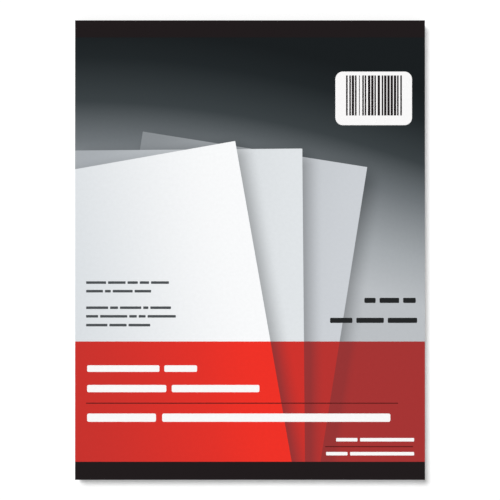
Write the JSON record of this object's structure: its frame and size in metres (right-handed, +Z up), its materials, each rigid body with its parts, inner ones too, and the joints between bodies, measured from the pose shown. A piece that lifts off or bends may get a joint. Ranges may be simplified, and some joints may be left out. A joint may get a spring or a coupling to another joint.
{
  "type": "writing pad",
  "caption": "Head-bound pad of plain tear-off sheets on a chipboard back, under a printed card cover that folds round the head and lifts at a score.",
  "frame": {"origin": "middle of the underside, at the level that the pad rests on", "axes": "+Z up out of the front cover, +Y along the sheets from the foot to the bound head, +X across the sheets to the reader's right"},
  "size_m": [0.2032, 0.267, 0.0102],
  "materials": {
    "writing_paper": "matte",
    "grey_chipboard": "matte",
    "wrap_card": "satin",
    "cover_card": "satin",
    "staple_wire": "satin"
  },
  "bodies": {
    "pad": {"sheets": "writing_paper", "back_board": "grey_chipboard", "head_wrap": "wrap_card", "staples": "staple_wire"},
    "cover": {"front_cover": "cover_card"}
  },
  "joints": [
    {"name": "cover_hinge", "type": "hinge", "parent": "pad", "child": "cover", "pos_m": [0, 0.12348, 0.01015], "axis": [-1, 0, 0], "range_deg": [0, 178]}
  ]
}
